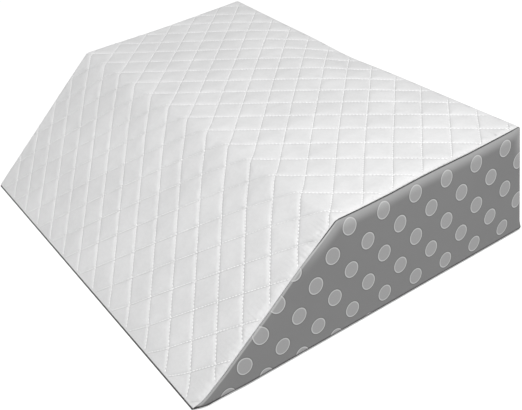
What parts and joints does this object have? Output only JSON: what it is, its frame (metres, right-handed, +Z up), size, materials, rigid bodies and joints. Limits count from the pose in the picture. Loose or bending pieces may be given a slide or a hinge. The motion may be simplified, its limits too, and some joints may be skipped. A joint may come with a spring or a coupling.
{
  "type": "wedge pillow",
  "caption": "Broad foam wedge pillow with a flat top and a front slope in diamond-quilted white cloth, and plain grey sewn side, back and base panels.",
  "frame": {"origin": "on the surface it lies on, under the middle of the whole pillow's box", "axes": "+X along the width, to the right side as seen from the low front tip; +Y from the low front tip to the high back; +Z up"},
  "size_m": [0.6224, 0.4854, 0.161],
  "materials": {
    "white_quilted_cloth": "matt white woven cloth, quilted in squares standing on a corner with white thread",
    "grey_dotted_cloth": "matt mid-grey woven cloth printed with staggered rows of paler grey dots",
    "grey_base_cloth": "matt dark grey plain woven cloth"
  },
  "bodies": {
    "root": {"quilted_block": "white_quilted_cloth", "side_panel_left": "grey_dotted_cloth", "side_panel_right": "grey_dotted_cloth", "back_panel": "grey_dotted_cloth", "base_panel": "grey_base_cloth"}
  },
  "joints": []
}
